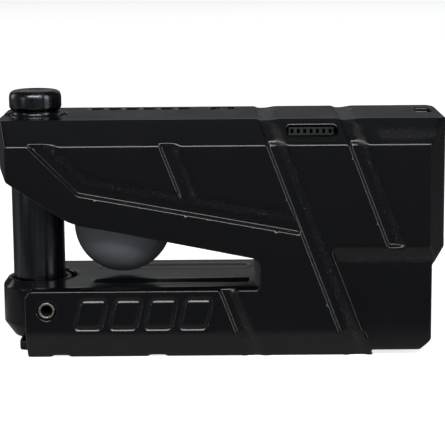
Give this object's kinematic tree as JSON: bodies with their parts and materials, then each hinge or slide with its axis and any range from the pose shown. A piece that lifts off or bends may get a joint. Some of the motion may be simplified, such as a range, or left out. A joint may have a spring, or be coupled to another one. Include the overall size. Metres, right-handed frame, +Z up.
{
  "type": "motorcycle disc brake lock",
  "caption": "C-shaped steel disc brake lock with an upright locking bolt, a sprung disc nose, a rear key cylinder and a built-in alarm under an end cover.",
  "frame": {"origin": "centre of the underside, where the lock stands", "axes": "+X along the lock from the bolt to the closed end of the throat, +Y to the key cylinder side, +Z up along the bolt"},
  "size_m": [0.1144, 0.038, 0.0675],
  "materials": {
    "body_paint": "glossy black lacquer over a cast steel body, fine sparkle in the grooves",
    "polished_steel": "dark polished hardened steel",
    "socket_steel": "dark machined steel",
    "pin_steel": "bare zinc-plated steel",
    "plain_steel": "machined steel",
    "brass": "turned brass",
    "grey_rubber": "matt blue-grey rubber",
    "black_rubber": "matt black rubber",
    "black_plastic": "fine-textured black moulding",
    "smoked_lens": "dark smoked clear plastic",
    "circuit_board": "green solder mask",
    "battery_wrap": "plain shrink sleeve with no printing"
  },
  "bodies": {
    "housing": {"lock_body": "body_paint", "bolt_bush": "brass", "bolt_wiper_seal": "black_rubber", "bolt_socket": "socket_steel", "socket_pin_front": "pin_steel", "socket_pin_rear": "pin_steel", "bar_spring": "plain_steel", "bar_channel_plug": "plain_steel", "key_cylinder_shell": "plain_steel", "cylinder_grub_screw": "plain_steel", "nose_guide_pin": "plain_steel", "nose_spring": "plain_steel", "siren_case": "black_plastic", "siren_disc": "brass", "battery": "battery_wrap", "battery_cradle": "black_plastic", "battery_contact_inner": "brass", "battery_contact_outer": "brass", "circuit_board": "circuit_board", "status_led": "smoked_lens", "status_lens": "smoked_lens", "control_chip": "black_plastic", "motion_sensor": "black_plastic", "sound_grille_front": "black_plastic", "sound_grille_rear": "black_plastic", "end_cover": "black_plastic", "end_cover_screw_1": "pin_steel", "end_cover_screw_2": "pin_steel"},
    "bolt": {"lock_bolt": "polished_steel"},
    "bar": {"locking_bar": "plain_steel"},
    "plug": {"key_plug": "brass"},
    "nose": {"disc_nose": "grey_rubber", "nose_core": "black_plastic"}
  },
  "joints": [
    {"name": "bolt_slide", "type": "slide", "parent": "housing", "child": "bolt", "axis": [0, 0, 1], "range_m": [0, 0.0375]},
    {"name": "key_turn", "type": "hinge", "parent": "housing", "child": "plug", "pos_m": [0.0005, 0.012, 0.0481], "axis": [0, 1, 0], "range_deg": [-90, 0]},
    {"name": "bar_slide", "type": "slide", "parent": "housing", "child": "bar", "axis": [-1, 0, 0], "range_m": [0, 0.004]},
    {"name": "nose_slide", "type": "slide", "parent": "housing", "child": "nose", "axis": [0, 0, 1], "range_m": [0, 0.004], "stiffness_N_per_m": 1500, "springref_m": -0.004, "deforming": ["nose_spring"]}
  ],
  "couplings": [
    {"joint": "key_turn", "follows": "bar_slide", "rad_per_m": -392.7}
  ]
}
